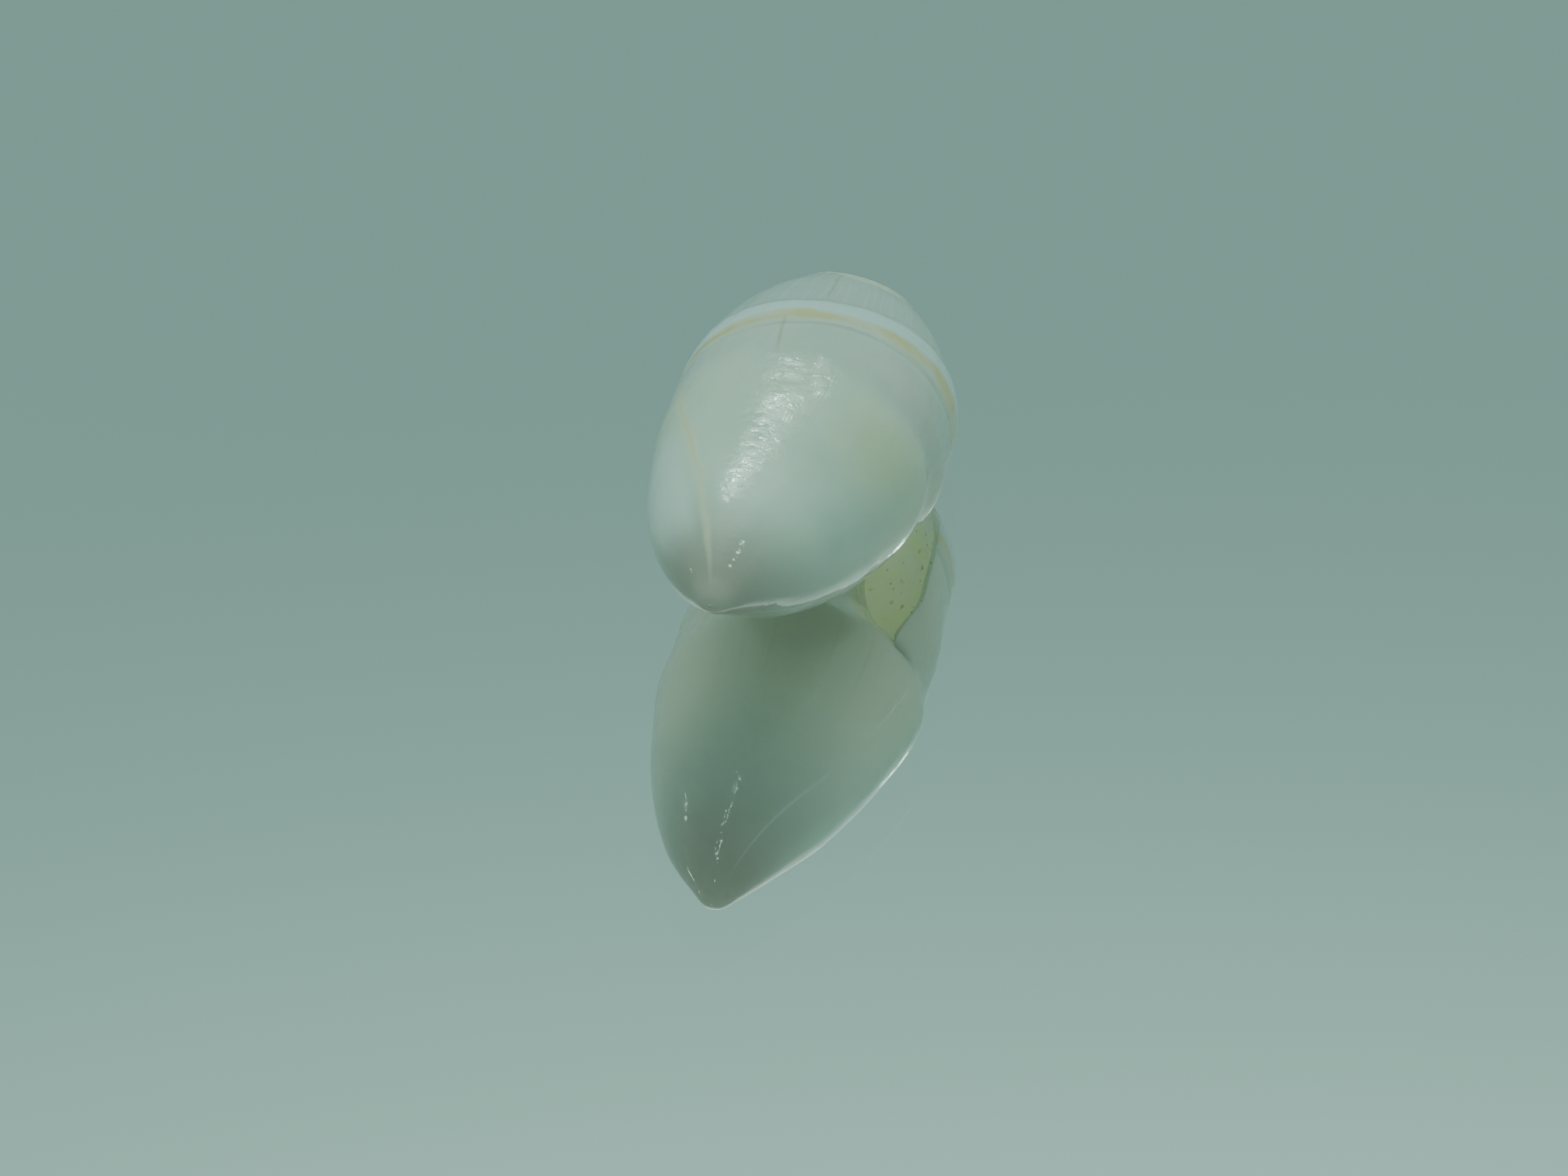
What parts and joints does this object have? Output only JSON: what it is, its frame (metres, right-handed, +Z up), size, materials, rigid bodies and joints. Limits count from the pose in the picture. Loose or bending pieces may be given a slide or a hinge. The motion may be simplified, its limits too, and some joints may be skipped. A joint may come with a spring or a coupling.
{
  "type": "olive shell",
  "caption": "Glossy white olive shell of the ancilla kind, with a smooth glazed spire and a long open aperture, lying aperture down on a small flat spot.",
  "frame": {"origin": "centre of the bounding box's bottom, in the plane that the shell rests on", "axes": "+Z up; the long axis lies along Y, with the tip of the spire towards -Y and the front end towards +Y; the outer lip is on the +X side"},
  "size_m": [0.0118, 0.0244, 0.0101],
  "materials": {
    "shell_glaze": "milky white natural glaze, glossy and slightly translucent, with a beige band, a bluish-white rim and a grey front band"
  },
  "bodies": {
    "root": {"shell": "shell_glaze"}
  },
  "joints": []
}
